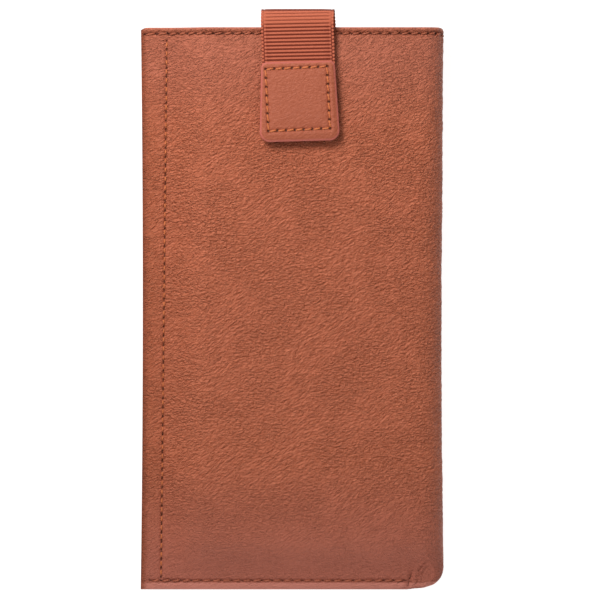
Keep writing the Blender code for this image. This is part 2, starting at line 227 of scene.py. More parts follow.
def half_thickness(x, y):
    return SEAM_HALF + (BODY_HALF - SEAM_HALF) * fullness(x, y)


def fold_centre(y):
    right = right_edge(y)
    return right - half_thickness(right, y) / corner_cosine(y)


def wrap_points(wrap, y):
    """Points of the outside, wrap running from the front's left edge, 0, to the back's, 1."""
    wrap, y = np.broadcast_arrays(np.asarray(wrap, float), np.asarray(y, float))
    left, seam, centre, right = left_edge(y), side_seam_x(y), fold_centre(y), right_edge(y)
    part = np.minimum(wrap, 1.0 - wrap) / FOLD_FROM
    margin_x = left + (seam - left) * part / SEAM_STOP
    panel_x = seam + (centre - seam) * (part - SEAM_STOP) / (1.0 - SEAM_STOP)
    x = np.where(part < SEAM_STOP, margin_x, panel_x)
    z = MID_Z + np.where(wrap < 0.5, 1.0, -1.0) * half_thickness(x, y)
    angle = math.pi * (0.5 - (wrap - FOLD_FROM) / (1.0 - 2.0 * FOLD_FROM))
    folded = np.abs(wrap - 0.5) < 0.5 - FOLD_FROM
    x = np.where(folded, centre + (right - centre) * np.cos(angle), x)
    z = np.where(folded, MID_Z + half_thickness(right, y) * np.sin(angle), z)
    return np.stack([x, y, z], -1)


def normals(wrap, y):
    """Unit normals of the outside, from small differences."""
    step = 0.00002
    across = wrap_points(np.minimum(wrap + step, 1.0), y) - wrap_points(np.maximum(wrap - step, 0.0), y)
    high, low = np.minimum(y + step, MOUTH_Y), np.maximum(y - step, FOOT_Y)
    normal = np.cross(across, wrap_points(wrap, high) - wrap_points(wrap, low))
    return normal / np.linalg.norm(normal, axis=-1, keepdims=True)


def settle(points):
    """Dips the mouth's two corners and rounds the foot's folded corner off, moving points along Y."""
    x, y = points[..., 0], points[..., 1]
    left = np.clip(1.0 - (x - left_edge(y)) / DIP_WIDTH, 0.0, 1.0)
    right = np.clip(1.0 - (right_edge(y) - x) / DIP_WIDTH, 0.0, 1.0)
    dip = MOUTH_DIP * (left ** 2 + right ** 2) * smooth((y - MOUTH_Y + DIP_REACH) / DIP_REACH)
    past = np.clip(x - (HALF_WIDTH - CORNER_RADIUS), 0.0, CORNER_RADIUS * math.cos(CORNER_LIMIT) + 0.0002)
    rise = CORNER_RADIUS - np.sqrt(CORNER_RADIUS ** 2 - past ** 2)
    moved = points.copy()
    moved[..., 1] += rise * (1.0 - smooth((y - FOOT_Y) / CORNER_REACH)) - dip
    return moved


def skin(wrap, y, inset=0.0):
    """The outside at (wrap, y), moved inwards by inset along its normal, with its corners settled."""
    wrap, y, inset = np.broadcast_arrays(np.clip(wrap, 0.0, 1.0), np.clip(y, FOOT_Y, MOUTH_Y), inset)
    return settle(wrap_points(wrap, y) - normals(wrap, y) * inset[..., None])


WRAP_TABLE = np.linspace(0.0, 1.0, 4001)
GIRTH_TABLE = run_length(wrap_points(WRAP_TABLE, np.zeros(len(WRAP_TABLE))))
GIRTH = GIRTH_TABLE[-1]


def girth_at(wrap):
    """The distance round the sleeve from the front's left edge, at mid length."""
    return np.interp(wrap, WRAP_TABLE, GIRTH_TABLE)


def wrap_at_girth(girth):
    return np.interp(girth, GIRTH_TABLE, WRAP_TABLE)


def wrap_at_x(x, y, back=False):
    """The wrap value of a panel point at x, on either side of the side seam."""
    seam, left = side_seam_x(y), left_edge(y)
    inside = SEAM_STOP + (1.0 - SEAM_STOP) * (x - seam) / (fold_centre(y) - seam)
    outside = SEAM_STOP * (x - left) / (seam - left)
    wrap = FOLD_FROM * np.where(x > seam, inside, outside)
    return 1.0 - wrap if back else wrap


# ---- meshes ----

def grid_quads(rows, columns, flip=False):
    index = np.arange(rows * columns).reshape(rows, columns)
    quads = np.stack([index[:-1, :-1], index[:-1, 1:], index[1:, 1:], index[1:, :-1]], -1).reshape(-1, 4)
    return quads[:, ::-1] if flip else quads


def border_sides(rows, columns):
    """The grid's rim as four chains of vertex numbers: foot, right, mouth, left, corners shared."""
    index = np.arange(rows * columns).reshape(rows, columns)
    return index[0, :], index[:, -1], index[-1, ::-1], index[::-1, 0]


def border_loop(rows, columns):
    return np.concatenate([side[:-1] for side in border_sides(rows, columns)])


def ring_quads(inner, outer):
    """Quads between two closed rings of equal length, outer lying on the side away from the faces."""
    return np.stack([outer, np.roll(outer, -1), np.roll(inner, -1), inner], -1)


def zipper(outer, inner, outer_at, inner_at):
    """Triangles between two open chains that run side by side, by their positions along the way."""
    outer, inner = outer.tolist(), inner.tolist()
    faces, i, j = [], 0, 0
    while i < len(outer) - 1 or j < len(inner) - 1:
        more_outer, more_inner = i < len(outer) - 1, j < len(inner) - 1
        if more_outer and (not more_inner or outer_at[i + 1] <= inner_at[j + 1]):
            faces.append((inner[j], outer[i + 1], outer[i]))
            i += 1
        else:
            faces.append((inner[j], inner[j + 1], outer[i]))
            j += 1
    return faces


def closed_sheet(outer, inner):
    """The points and faces of a thin closed sheet between two equal grids of points."""
    rows, columns = outer.shape[:2]
    count = rows * columns
    loop = border_loop(rows, columns)
    faces = np.concatenate([grid_quads(rows, columns), grid_quads(rows, columns, flip=True) + count,
                            ring_quads(loop, loop + count)])
    return np.concatenate([outer.reshape(-1, 3), inner.reshape(-1, 3)]), faces.tolist()


def add_to_scene(name, data):
    obj = bpy.data.objects.new(name, data)
    bpy.context.scene.collection.objects.link(obj)
    return obj


def make_object(name, points, faces, material, floats=None, uv=None):
    """A smooth mesh object, with float attributes and one UV map in millimetres."""
    mesh = bpy.data.meshes.new(name)
    mesh.from_pydata(np.asarray(points, float).reshape(-1, 3).tolist(), [], faces)
    mesh.validate()
    mesh.shade_smooth()
    for key, values in (floats or {}).items():
        attribute = mesh.attributes.new(key, "FLOAT", "POINT")
        attribute.data.foreach_set("value", np.asarray(values, np.float32).ravel())
    if uv is not None:
        layer = mesh.uv_layers.new(name="flat")
        corners = np.zeros(len(mesh.loops), int)
        mesh.loops.foreach_get("vertex_index", corners)
        layer.data.foreach_set("uv", np.asarray(uv, np.float32).reshape(-1, 2)[corners].ravel())
    mesh.materials.append(material)
    obj = add_to_scene(name, mesh)
    return obj


def stations(*stretches):
    """Positions along several stretches, each given as its end and its cell size, from the first value."""
    positions = [stretches[0]]
    for end, cell in stretches[1:]:
        start = positions[-1]
        count = max(1, round((end - start) / cell))
        positions.extend(start + (end - start) * (i + 1) / count for i in range(count))
    return np.array(positions)


# ---- the leather's relief, in millimetres outwards ----

def seam_relief(along, across, pitch, long_pit, wide_pit, slant, groove, pit):
    """A stitch groove with a pit at each hole. Returns the relief, and the painted shade in the holes and,
    fainter, along the groove.
    """
    from_hole = (along / pitch - np.round(along / pitch)) * pitch + slant * across
    hole = bell(from_hole / long_pit) * bell(across / wide_pit)
    bulge = 0.05 * bell((np.abs(across) - 1.05) / 0.45) * (0.6 + 0.4 * np.cos(2 * math.pi * along / pitch))
    # Painted shade: full in each hole, fainter along the groove
    shade = np.maximum(hole, 0.42 * bell(across / 0.34))
    return bulge - groove * bell(across / 0.55) - pit * hole, shade


def grain_relief(u, v):
    rolling = 0.11 * noise(u / 24, v / 31, 3) + 0.05 * noise(u / 9, v / 12, 4)
    pebbles = 0.15 * creases(u, v, 2.1, 1.25, 8, 5)
    cluster = smooth(0.55 + 0.9 * noise(u / 17, v / 14, 8))
    diagonal = 0.17 * cluster * creases(u, v, 6.0, 1.8, 35, 11)
    level = 0.15 * (1.0 - cluster) * creases(u, v, 3.6, 1.6, 8, 14)
    calm = 1.0 - 0.6 * smooth((-58.0 - v) / 18.0)
    return rolling + (pebbles + diagonal + level) * calm


def crease_x(y):
    return CREASE_X + CREASE_LEAN * (y - CREASE_Y)


def corner_relief(x, y):
    """The gathers round the folded corner at the foot, and the crease that ends its seam."""
    from_crease = x - crease_x(y)
    length = smooth((y + 83.2) / 1.4) * smooth((-76.2 - y) / 3.0)
    crease = -0.75 * bell(from_crease / 0.40) * length
    lip = 0.30 * bell((from_crease - 1.2) / 0.8) * length
    out, up = x - GATHER_X, y - GATHER_Y
    reach = np.hypot(out, up)
    wander = 0.35 * noise(x / 2.5, y / 2.5, 31)
    arcs = 0.24 * np.sin(2.0 * math.pi * (reach + 2.0 * wander) / 1.45) * bell((reach - 5.2) / 1.8)
    arcs = arcs * smooth((up - 0.9 * out) / (1.4 * reach) + 0.15)
    arcs = arcs * smooth((from_crease - 0.4) / 1.2) * smooth((-72.5 - y) / 2.5) * smooth((41.5 - x) / 2.5)
    return crease + lip + arcs


def hide_relief(wrap, y):
    """The hide's relief in metres, and from 0 to 1 how much painted shade each point has in holes, grooves
    and creases, how much edge paint and painted reflection, and how much burnish and painted shade.
    """
    x = wrap_points(wrap, y)[..., 0] / MM
    u, v = girth_at(wrap) / MM, y / MM
    front = smooth((0.5 - wrap) / 0.03 + 0.5)
    on_panel = np.abs(wrap - 0.5) > 0.5 - FOLD_FROM
    right_of_seam = np.where(on_panel, x - side_seam_x(y) / MM, 60.0)
    from_left, from_foot, from_mouth = x - left_edge(y) / MM, v - FOOT_Y / MM, MOUTH_Y / MM - v
    over_foot_seam, over_mouth_seam = v - FOOT_SEAM_Y / MM, v - MOUTH_SEAM_Y / MM

    # Grain, with gathers beside the side seam and under the mouth seam
    relief = grain_relief(u, v) * (0.35 + 0.65 * smooth(right_of_seam / 1.5))
    pucker = bell((right_of_seam - 1.0) / 8.5) * smooth(right_of_seam / 0.8)
    relief += 0.30 * pucker * creases(u, v, 7.5, 2.1, 3, 21)
    relief += 0.12 * bell((over_mouth_seam + 2.5) / 2.5) * creases(u, v, 1.9, 3.6, 20, 25)

    # The three stitched seams, each kept to its own stretch
    in_side = smooth((80.0 - v) / 0.3) * smooth((v + 80.2) / 0.3)
    side, side_hole = seam_relief(v, right_of_seam, SIDE_PITCH / MM, 0.55, 0.28, 0.0, 0.30, 0.40)
    in_foot = smooth((x + 43.6) / 0.4) * smooth((34.3 - x) / 0.4) * on_panel
    foot, foot_hole = seam_relief(x, over_foot_seam, FOOT_PITCH / MM, 0.50, 0.42, 0.9, 0.26, 0.45)
    in_mouth = smooth((u - 0.3) / 0.3) * smooth((GIRTH / MM - 0.3 - u) / 0.3)
    mouth, mouth_hole = seam_relief(u - MOUTH_FIRST / MM, over_mouth_seam, MOUTH_PITCH / MM,
                                    0.52, 0.44, 1.0, 0.36, 0.45)
    relief += side * in_side + foot * in_foot + mouth * in_mouth
    hole = np.maximum(np.maximum(side_hole * in_side, 0.7 * foot_hole * in_foot), mouth_hole * in_mouth)

    # The folded corner, the thinned edges, and the back, which never bulges past the face it lies on
    relief += corner_relief(x, v) * front
    for depth, width, distance in ((0.75, 1.7, from_left), (0.40, 1.3, from_foot), (0.35, 0.9, from_mouth)):
        relief -= depth * np.clip(1.0 - distance / width, 0.0, 1.0) ** 2
    resting = np.minimum(0.5 * relief - 0.06, 0.0)
    relief = np.where(wrap < 0.5, relief, front * relief + (1.0 - front) * resting)

    # Painted shade in the crease that ends the foot seam
    in_crease = bell((x - crease_x(v)) / 0.3) * smooth((v + 83.0) / 1.0) * smooth((-77.5 - v) / 2.5)
    hole = np.maximum(hole, 0.6 * front * in_crease)
    # Burnish with painted shade along the left edge, and a band of painted shade in the groove above the
    # mouth seam
    burnish_and_shade = np.clip(1.0 - from_left / 2.3, 0.0, 1.0)
    burnish_and_shade = np.maximum(burnish_and_shade, 0.55 * bell((over_mouth_seam - 0.65) / 0.60))
    # Edge paint along the mouth's top, and a painted reflection on the margin below the foot seam
    paint_and_reflection = np.maximum(0.5 * bell(from_mouth / 0.35), 0.5 * smooth((-over_foot_seam - 0.25) / 0.6))
    return relief * MM, hole, burnish_and_shade, paint_and_reflection


# ---- the hide ----

def hide_columns():
    """Wrap values of the hide's columns: fine on the front and at the seams, coarser on the back."""
    margin = side_seam_x(0.0) - left_edge(0.0)
    fold_start, fold_end = girth_at(FOLD_FROM), girth_at(1.0 - FOLD_FROM)
    girths = stations(
        EDGE_ROUND, (margin - SEAM_ZONE, 0.0005), (margin + SEAM_ZONE, FINE_CELL),
        (fold_start - 0.004, 0.0005), (fold_start + 0.005, 0.00032), (fold_end, 0.00095),
        (GIRTH - margin - SEAM_ZONE, 0.0021), (GIRTH - margin + SEAM_ZONE, 0.0004),
        (GIRTH - EDGE_ROUND, 0.0015))
    return wrap_at_girth(girths)


def hide_rows():
    """Y values of the hide's rows: fine at the seams and round the foot's corner."""
    return stations(
        FOOT_Y + EDGE_ROUND, (FOOT_SEAM_Y - SEAM_ZONE, 0.0004), (FOOT_SEAM_Y + SEAM_ZONE, FINE_CELL),
        (-0.0735, 0.0003), (MOUTH_SEAM_Y - SEAM_ZONE, 0.00054), (MOUTH_SEAM_Y + SEAM_ZONE, FINE_CELL),
        (MOUTH_Y - EDGE_ROUND, 0.0003))


def rim_positions(wraps, rows, outwards):
    """The grid's border moved outwards past its ends, as wrap and y for each vertex of the loop."""
    columns = len(wraps)
    wrap_grid, y_grid = np.meshgrid(wraps, rows)
    loop = border_loop(len(rows), columns)
    wrap, y = wrap_grid.ravel()[loop], y_grid.ravel()[loop]
    margin = side_seam_x(y) - left_edge(y)
    per_metre = FOLD_FROM * SEAM_STOP / margin
    wrap = np.where(loop % columns == 0, wrap - outwards * per_metre, wrap)
    wrap = np.where(loop % columns == columns - 1, wrap + outwards * per_metre, wrap)
    y = np.where(loop < columns, y - outwards, y)
    y = np.where(loop >= columns * (len(rows) - 1), y + outwards, y)
    return wrap, y


def make_hide(material):
    """One closed sheet round the fold: relief outside, painted rim, plain flesh side."""
    points, flat, shades = [], [], []

    def layer(wrap, y, inset, hole, edge, burnish_and_shade):
        """Adds a grid or ring of vertices, with its three shades, and returns the first one's number."""
        start = sum(len(p) for p in points)
        points.append(skin(wrap, y, inset).reshape(-1, 3))
        flat.append(np.stack([girth_at(wrap), y], -1).reshape(-1, 2))
        shades.append([np.broadcast_to(shade, wrap.shape).ravel() for shade in (hole, edge, burnish_and_shade)])
        return start

    wraps, rows = hide_columns(), hide_rows()
    wrap_grid, y_grid = np.meshgrid(wraps, rows)
    relief, hole, burnish_and_shade, paint_and_reflection = hide_relief(wrap_grid, y_grid)
    layer(wrap_grid, y_grid, -relief, hole, paint_and_reflection, burnish_and_shade)
    faces = grid_quads(len(rows), len(wraps)).tolist()

    # The rim, as rings: distance from the edge, depth, share of the outside's relief, paint
    loop = border_loop(len(rows), len(wraps))
    side_girth = girth_at(wrap_grid.ravel()[loop])
    from_side = np.minimum(side_girth, GIRTH - side_girth)
    mouth_depth = LEATHER + (SEWN_RIM - LEATHER) * (1.0 - smooth(from_side / 0.002))
    depth = np.where(y_grid.ravel()[loop] > MOUTH_Y - 2 * EDGE_ROUND, mouth_depth, SEWN_RIM)
    previous = loop
    for from_edge, ring_depth, share, edge in (
            (0.09 * MM, 0.09 * MM, 1.0, 0.6), (0.0, EDGE_ROUND, 0.5, 1.0),
            (0.0, depth - EDGE_ROUND, 0.0, 1.0), (0.09 * MM, depth - 0.09 * MM, 0.0, 1.0),
            (EDGE_ROUND, depth, 0.0, 0.5), (RIM_WIDTH, depth, 0.0, 0.0),
            (RIM_WIDTH + 0.1 * MM, LEATHER, 0.0, 0.0)):
        wrap, y = rim_positions(wraps, rows, EDGE_ROUND - from_edge)
        inset = ring_depth - share * relief.ravel()[loop]
        start = layer(wrap, y, inset, 0.0, edge, burnish_and_shade.ravel()[loop])
        ring = np.arange(start, start + len(loop))
        faces.extend(ring_quads(previous, ring).tolist())
        previous = ring

    # The flesh side, a coarser grid, zipped to the last ring
    inset = RIM_WIDTH + 0.4 * MM
    low, high = rim_positions(wraps, rows, EDGE_ROUND - inset)[0][[0, len(wraps) - 1]]
    inner_wraps = np.clip(np.append(wraps[:-1:4], wraps[-1]), low, high)
    inner_rows = np.clip(np.append(rows[:-1:6], rows[-1]), FOOT_Y + inset, MOUTH_Y - inset)
    start = layer(*np.meshgrid(inner_wraps, inner_rows), LEATHER, 0.0, 0.0, 0.0)
    faces.extend((grid_quads(len(inner_rows), len(inner_wraps), flip=True) + start).tolist())
    ends = np.cumsum([0] + [len(side) - 1 for side in border_sides(len(rows), len(wraps))])
    inner_sides = border_sides(len(inner_rows), len(inner_wraps))
    positions = ((wraps, inner_wraps), (rows, inner_rows), (-wraps[::-1], -inner_wraps[::-1]),
                 (-rows[::-1], -inner_rows[::-1]))
    for k, (outer_at, inner_at) in enumerate(positions):
        chain = np.append(previous[ends[k]:ends[k + 1]], previous[ends[k + 1] % len(previous)])
        faces.extend(zipper(chain, inner_sides[k] + start, outer_at, inner_at))

    shades = dict(zip(("hole", "edge", "burnish_and_shade"), map(np.concatenate, zip(*shades))))
    hide = make_object("outer_leather_skin", np.concatenate(points), faces, material,
                       shades, np.concatenate(flat) / MM)
    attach(hide, "pouch")
    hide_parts("outer_leather")


# ---- lining and facing ----

def lining_inset(wrap, y):
    x = wrap_points(wrap, y)[..., 0]
    return BOARD_INSET + BOARD_SPACE * smooth(2.0 * fullness(x, y) - 0.5)


def facing_inset(wrap, y):
    return np.full(np.shape(wrap), LEATHER + LAYER_GAP)


def make_inner_sheet(node, low_y, high_y, inset_at, thickness, material, wave):
    """A closed sheet inside the hide, trimmed short of the sewn side edges."""
    low = SIDE_TRIM + RIM_WIDTH
    wraps = wrap_at_girth(stations(low, (GIRTH - low, 0.0012)))
    wrap, y = np.meshgrid(wraps, stations(low_y, (high_y, 0.0012)))
    inset = inset_at(wrap, y)
    soft = wave * noise(girth_at(wrap) / 0.011, y / 0.013, 41)
    points, faces = closed_sheet(skin(wrap, y, inset), skin(wrap, y, inset + thickness + soft + wave))
    flat = np.stack([girth_at(wrap), y], -1).reshape(-1, 2) / MM
    sheet = make_object(node + "_sheet", points, faces, material, uv=np.concatenate([flat, flat]))
    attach(sheet, "pouch")
    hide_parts(node)


# ---- stitches ----

def make_stitches(row, holes, outward, body, material, gap, slant, height, sink, radius=THREAD_RADIUS):
    """One bent, twisted tube for each pair of neighbouring holes, joined as a group in one object."""
    steps, sides, plies = 15, 10, 2
    start, end = holes[:-1], holes[1:]
    normal = outward[:-1] + outward[1:]
    normal /= np.linalg.norm(normal, axis=1, keepdims=True)
    length = np.linalg.norm(end - start, axis=1, keepdims=True)
    forward = (end - start) / length
    aside = np.cross(normal, forward)
    start = start + forward * gap / 2 - aside * slant
    end = end - forward * gap / 2 + aside * slant
    t = np.linspace(0.0, 1.0, steps)
    lift = height - (height + sink) * np.abs(2.0 * t - 1.0) ** 4
    path = start[:, None] + (end - start)[:, None] * t[None, :, None] + normal[:, None] * lift[None, :, None]
    tangent = np.gradient(path, axis=1)
    tangent /= np.linalg.norm(tangent, axis=2, keepdims=True)
    across = np.cross(normal[:, None], tangent)
    across /= np.linalg.norm(across, axis=2, keepdims=True)
    up = np.cross(tangent, across)
    turn = 2.0 * math.pi * np.arange(sides) / sides
    twist = 2.0 * math.pi * (length / TWIST_PITCH)[:, :, None] * t[None, :, None]
    swell = radius * (1.0 + 0.14 * np.cos(plies * turn[None, None, :] - twist))
    points = (path[:, :, None] + across[:, :, None] * (np.cos(turn)[:, None] * swell[..., None])
              + up[:, :, None] * (np.sin(turn)[:, None] * swell[..., None]))
    rings = np.arange(len(start) * steps * sides).reshape(len(start), steps, sides)
    beside = np.roll(rings, -1, axis=2)
    tubes = np.stack([rings[:, :-1], beside[:, :-1], beside[:, 1:], rings[:, 1:]], -1).reshape(-1, 4)
    faces = tubes.tolist() + rings[:, 0, ::-1].tolist() + rings[:, -1].tolist()
    flat = np.stack(np.broadcast_arrays(turn[None, None, :], (length * t)[:, :, None] / MM), -1)
    obj = make_object(row + "_stitches", points, faces, material, uv=flat)
    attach(obj, body)
    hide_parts(row + "_thread")


def hole_line(low, high, pitch):
    """Hole positions at whole multiples of the pitch, as the relief has them."""
    return pitch * np.arange(math.ceil(low / pitch), math.floor(high / pitch) + 1)


def make_pouch_stitches(thread, darker_thread):
    girths = MOUTH_FIRST + hole_line(0.0, GIRTH - 2 * MOUTH_FIRST, MOUTH_PITCH)
    wraps, ys = wrap_at_girth(girths), np.full(len(girths), MOUTH_SEAM_Y)
    make_stitches("mouth_needle", skin(wraps, ys), normals(wraps, ys), "pouch", darker_thread,
                  gap=0.0012, slant=0.0002, height=-0.0001, sink=0.0005)
    inside = (girths > 0.010) & (girths < GIRTH - 0.010)
    wraps, ys = wraps[inside], ys[inside]
    make_stitches("mouth_bobbin", skin(wraps, ys, LEATHER + LAYER_GAP + FACING), -normals(wraps, ys), "pouch",
                  thread, gap=0.0006, slant=0.0001, height=0.00012, sink=0.0003, radius=0.0002)
    for part, back in (("needle", False), ("bobbin", True)):
        ys = hole_line(-0.0800, 0.0799, SIDE_PITCH)[::-1]
        wraps = wrap_at_x(side_seam_x(ys), ys, back)
        make_stitches("side_" + part, skin(wraps, ys), normals(wraps, ys), "pouch", thread,
                      gap=0.0016, slant=0.0, height=-0.0001, sink=0.0006)
        xs = hole_line(-0.0434, 0.0345, FOOT_PITCH)
        ys = np.full(len(xs), FOOT_SEAM_Y)
        wraps = wrap_at_x(xs, ys, back)
        make_stitches("foot_" + part, skin(wraps, ys), normals(wraps, ys), "pouch", darker_thread,
                      gap=0.0011, slant=0.00018, height=-0.00012, sink=0.0005)


def ring_holes(width_low, width_high, height, per_side):
    """Hole positions round a four-sided stitch line, closed, in its own plane."""
    corners = np.array([(-width_low / 2, -height / 2), (width_low / 2, -height / 2),
                        (width_high / 2, height / 2), (-width_high / 2, height / 2)])
    holes = []
    for k in range(4):
        start, end = corners[k], corners[(k + 1) % 4]
        count = per_side[k % 2]
        holes.extend(start + (end - start) * i / count for i in range(count))
    holes.append(corners[0])
    return np.array(holes)


def make_anchor_stitches(thread):
    flat = ring_holes(ANCHOR_STITCH[0], ANCHOR_STITCH[0], ANCHOR_STITCH[1], (6, 3))
    for part, z, side in (("needle", RIBBON_INSET + RIBBON / 2, 1.0), ("bobbin", LEATHER + 0.0005, -1.0)):
        holes = np.column_stack([flat[:, 0] + RIBBON_X, flat[:, 1] + ANCHOR_STITCH_Y, np.full(len(flat), z)])
        make_stitches("anchor_" + part, holes, np.tile([0.0, 0.0, side], (len(flat), 1)), "pouch", thread,
                      gap=0.0004, slant=0.0, height=0.00012, sink=0.0003, radius=0.00016)


# ---- the ribbon ----

def lining_ribbon_z(y, back):
    wrap = wrap_at_x(RIBBON_X, y, back)
    inset = lining_inset(wrap, y) + LINING + LAYER_GAP + RIBBON / 2
    return wrap_points(wrap, y)[..., 2] + np.where(back, 1.0, -1.0) * inset


def curve_through(points, samples=12):
    """A smooth curve through a few points."""
    padded = np.array([points[0]] + list(points) + [points[-1]], float)
    t = np.arange(samples)[:, None] / samples
    pieces = []
    for before, start, end, after in zip(padded[:-3], padded[1:-2], padded[2:-1], padded[3:]):
        pieces.append(0.5 * (2 * start + (end - before) * t
                             + (2 * before - 5 * start + 4 * end - after) * t ** 2
                             + (3 * start - before - 3 * end + after) * t ** 3))
    pieces.append(padded[-1:])
    return np.concatenate(pieces)


def ribbon_columns(cells):
    """Positions across the ribbon: fine in the woven edges, a few plain ones between."""
    half = RIBBON_WIDTH / 2
    edge = np.linspace(0.0, SELVAGE, 7)
    middle = np.linspace(-half + SELVAGE, half - SELVAGE, cells + 2)[1:-1]
    return np.concatenate([-half + edge, middle, half - edge[::-1]])


def make_ribbon(name, path, steps, material, from_end=False):
    """A length of grosgrain along a path of (x, y, z), its ribs woven across at a slight slope."""
    path = np.asarray(path, float)
    first, last = path[0] - path[1], path[-1] - path[-2]
    path = np.vstack([path[0] + first / np.linalg.norm(first) * MM, path,
                      path[-1] + last / np.linalg.norm(last) * MM])
    at = run_length(path) - MM
    length = at[-1] - MM
    s = np.linspace(0.0, length, round(length / RIB_PITCH * steps) + 1)
    phase = (s - length) / RIB_PITCH if from_end else s / RIB_PITCH
    across = ribbon_columns(9)
    sloped = s[:, None] - RIB_SLOPE * across[None, :]
    step = 0.25 * MM
    centre, ahead, behind = (np.stack([np.interp(sloped + ahead_by, at, path[:, k]) for k in range(3)], -1)
                             for ahead_by in (0.0, step, -step))
    tangent = ahead - behind
    tangent[..., 0] = 0.0
    tangent /= np.linalg.norm(tangent, axis=-1, keepdims=True)
    normal = np.cross([1.0, 0.0, 0.0], tangent)

    # Ribs between two beaded, woven edges
    ridge = np.abs(np.sin(math.pi * phase))[:, None] ** 0.9
    from_edge = RIBBON_WIDTH / 2 - np.abs(across)[None, :]
    bead = np.abs(np.sin(math.pi * (phase[:, None] + 0.5 * (from_edge < SELVAGE / 2))))
    bead = bead * np.abs(np.sin(2.0 * math.pi * np.clip(from_edge / SELVAGE, 0.06, 1.0))) ** 0.12
    woven_edge = 1.0 - smooth((from_edge - SELVAGE + 0.0002) / 0.0003)
    half = (0.00006 + 0.00022 * ridge) * (1.0 - woven_edge) + (0.00008 + 0.00014 * bead) * woven_edge
    scallop = np.sign(across)[None, :] * 0.00007 * np.cos(2.0 * math.pi * phase)[:, None]

    # Painted shade in the grooves between ribs and between the edge beads, less past the mouth, and a soft
    # painted shade at the top of the loop
    groove = (1.0 - ridge) * (1.0 - woven_edge) + 0.55 * (1.0 - bead) * woven_edge
    top = smooth((centre[..., 1] - MOUTH_Y + 0.001) / 0.003)
    apex = smooth((centre[..., 1] - LOOP_TOP_Y + 0.0010) / 0.0004)
    groove = np.maximum(groove * (1.0 - 0.55 * top), 0.40 * apex).ravel()

    centre[..., 0] += across[None, :] + scallop * (from_edge < 0.0003)
    points, faces = closed_sheet(centre + normal * half[..., None], centre - normal * half[..., None])
    flat = np.stack(np.broadcast_arrays(across[None, :], s[:, None]), -1).reshape(-1, 2) / MM
    return make_object(name, points, faces, material,
                       {"groove": np.concatenate([groove, groove])}, np.concatenate([flat, flat]))


def run_path(low, high, back):
    """A straight run of ribbon along one panel's lining, drifting to the loop's inner leg near the mouth."""
    ys = np.linspace(low, high, 60)
    drift = 0.0 if back else LOOP_SKEW * smooth((ys - 0.030) / 0.028)
    slack = 0.0 if back else RUN_SLACK * smooth((ys + 0.010) / 0.045)
    return np.column_stack([RIBBON_X + drift + 0.0 * ys, ys, lining_ribbon_z(ys, back) - slack])


def make_ribbons(material):
    foot, anchor = RUN_FOOT_Y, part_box("pull_ribbon_back_run")[1].y
    back_run = make_ribbon("ribbon_back_run", run_path(foot, anchor, True), 4, material)
    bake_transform(back_run)
    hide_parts("pull_ribbon_back_run")

    walls = np.linspace(foot, -0.0766, 8)
    back_z, front_z = lining_ribbon_z(walls, True), lining_ribbon_z(walls, False)
    turn = np.radians(np.linspace(-60, 60, 9))
    bend_y = walls[-1] - BEND_DEPTH * np.cos(turn)
    bend_z = MID_Z + (MID_Z - back_z[-1]) * np.sin(turn)
    ys = np.concatenate([walls, bend_y, walls[::-1]])
    zs = np.concatenate([back_z, bend_z, front_z[::-1]])
    cradle = make_ribbon("ribbon_cradle", np.column_stack([np.full(len(ys), RIBBON_X), ys, zs]), 4, material)
    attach(cradle, "cradle")
    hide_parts("pull_ribbon_cradle")

    front_run = make_ribbon("ribbon_front_run", run_path(foot, JOIN_Y, False), 4, material, from_end=True)
    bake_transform(front_run)
    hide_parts("pull_ribbon_front_run")

    inner = [(y, z) for _, y, z in run_path(JOIN_Y, 0.0780, False)[::12]]
    tail_flat_y = TAB_CENTRE[1] + TAB_HEIGHT / 2 + 0.0008
    outer = [(0.0790, TAIL_Z - 0.00003), (tail_flat_y, TAIL_Z), (0.0660, TAIL_Z),
             (TAB_CENTRE[1] - 0.0085, TAIL_Z)]
    curve = curve_through(inner + list(LOOP_PATH) + outer)
    along = run_length(curve)
    skew = LOOP_SKEW * (1.0 - smooth((along - 0.022) / 0.014))
    to_tab = (TAB_CENTRE[0] - RIBBON_X) * smooth((along - 0.034) / 0.020)
    path = np.column_stack([RIBBON_X + skew + to_tab, curve[:, 0], curve[:, 1]])
    loop = make_ribbon("ribbon_loop_and_tail", path, 8, material)
    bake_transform(loop)
    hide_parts("pull_ribbon_loop", "pull_ribbon_tail")


# ---- the tab ----

def tab_outline(inset, per_side=80, per_corner=12):
    """The tab's outline, moved inwards, in its own plane, anticlockwise from the lower right."""
    half_height = TAB_HEIGHT / 2 - inset
    low, high = TAB_WIDTH_FOOT / 2 - inset, TAB_WIDTH_TOP / 2 - inset
    corners = ((low, -half_height, TAB_RADIUS_FOOT, -90), (high, half_height, TAB_RADIUS_TOP, 0),
               (-high, half_height, TAB_RADIUS_TOP, 90), (-low, -half_height, TAB_RADIUS_FOOT, 180))
    arcs = []
    for x, y, radius, start in corners:
        r = max(radius - inset, min(0.0004, 0.3 * half_height))
        angle = np.radians(start + 90.0 * np.linspace(0.0, 1.0, per_corner + 1))
        arcs.append(np.column_stack([x - math.copysign(r, x) + r * np.cos(angle),
                                     y - math.copysign(r, y) + r * np.sin(angle)]))
    points = []
    between = np.linspace(0.0, 1.0, per_side + 1)[1:-1, None]
    for arc, following in zip(arcs, arcs[1:] + arcs[:1]):
        points.extend((arc, arc[-1] + (following[0] - arc[-1]) * between))
    return np.concatenate(points)


def tab_holes():
    holes = ring_holes(SEWN_WIDTH, SEWN_WIDTH, SEWN_HEIGHT, (TAB_STITCHES, TAB_STITCHES))
    cosine, sine = math.cos(SEWN_TURN), math.sin(SEWN_TURN)
    return np.column_stack([holes[:, 0] * cosine - holes[:, 1] * sine + SEWN_CENTRE[0],
                            holes[:, 0] * sine + holes[:, 1] * cosine + SEWN_CENTRE[1]])


